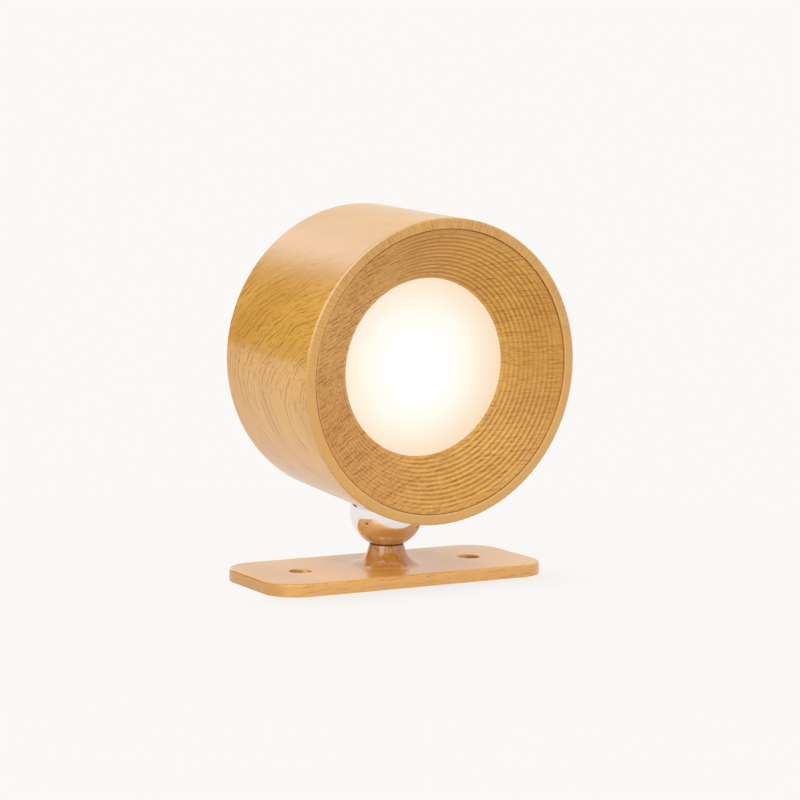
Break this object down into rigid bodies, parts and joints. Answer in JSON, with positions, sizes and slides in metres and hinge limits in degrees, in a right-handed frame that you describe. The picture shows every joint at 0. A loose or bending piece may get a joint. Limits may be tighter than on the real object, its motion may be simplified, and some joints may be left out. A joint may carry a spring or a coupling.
{
  "type": "wall lamp",
  "caption": "Cordless wall lamp: a wood-grain drum head with a ridged baffle and glowing opal lens, held by a magnet on a chromed ball over a rounded screw-on plate.",
  "frame": {"origin": "middle of the base plate underside, between the two wall screw holes", "axes": "+Z away from the wall or table, X along the plate, the lamp faces -Y"},
  "size_m": [0.0936, 0.0588, 0.1131],
  "materials": {
    "oak_print": "satin wood-grain print",
    "oak_back": "satin wood-grain print",
    "oak_plate": "satin wood-grain print",
    "chrome": "polished",
    "black_plastic": "matt",
    "rubber": "matt",
    "steel": "nickel plated",
    "opal": "frosted, lit from behind",
    "led": "phosphor",
    "white_plastic": "matt",
    "led_board": "white solder mask",
    "board": "green solder mask",
    "cell": "shrink sleeve",
    "lead": "insulation"
  },
  "bodies": {
    "base": {"base_plate": "oak_plate"},
    "ball": {"ball": "chrome", "ball_washer": "rubber", "ball_screw": "steel"},
    "socket": {"socket_liner": "black_plastic", "magnet": "steel", "pole_cup": "steel"},
    "head": {"drum_shell": "oak_print", "baffle": "oak_print", "lens": "opal", "reflector": "white_plastic", "led_board": "led_board", "leds": "led", "led_leads": "lead", "chassis": "white_plastic", "chassis_screws": "steel", "battery_tray": "white_plastic", "tray_screws": "steel", "battery": "cell", "battery_tabs": "steel", "control_board": "board", "board_screws": "steel", "board_parts": "black_plastic", "charging_port": "steel", "switch_base": "black_plastic", "light_pipe": "white_plastic", "back_cover": "oak_back", "cover_screws": "steel", "socket_retainer": "white_plastic", "retainer_screws": "steel"},
    "button": {"push_button": "oak_back", "switch_plunger": "white_plastic"}
  },
  "joints": [
    {"name": "head_turn", "type": "hinge", "parent": "base", "child": "ball", "pos_m": [0, 0, 0.02048], "axis": [0, 0, 1], "continuous": true},
    {"name": "head_tilt", "type": "hinge", "parent": "ball", "child": "socket", "pos_m": [0, 0, 0.02048], "axis": [1, 0, 0], "range_deg": [-39, 31]},
    {"name": "head_spin", "type": "hinge", "parent": "socket", "child": "head", "pos_m": [0, 0, 0.02048], "axis": [0, -0.0698, 0.9976], "continuous": true},
    {"name": "button_push", "type": "slide", "parent": "head", "child": "button", "axis": [0, -0.9976, -0.0698], "range_m": [0, 0.0006], "stiffness_N_per_m": 300, "springref_m": -0.003}
  ]
}
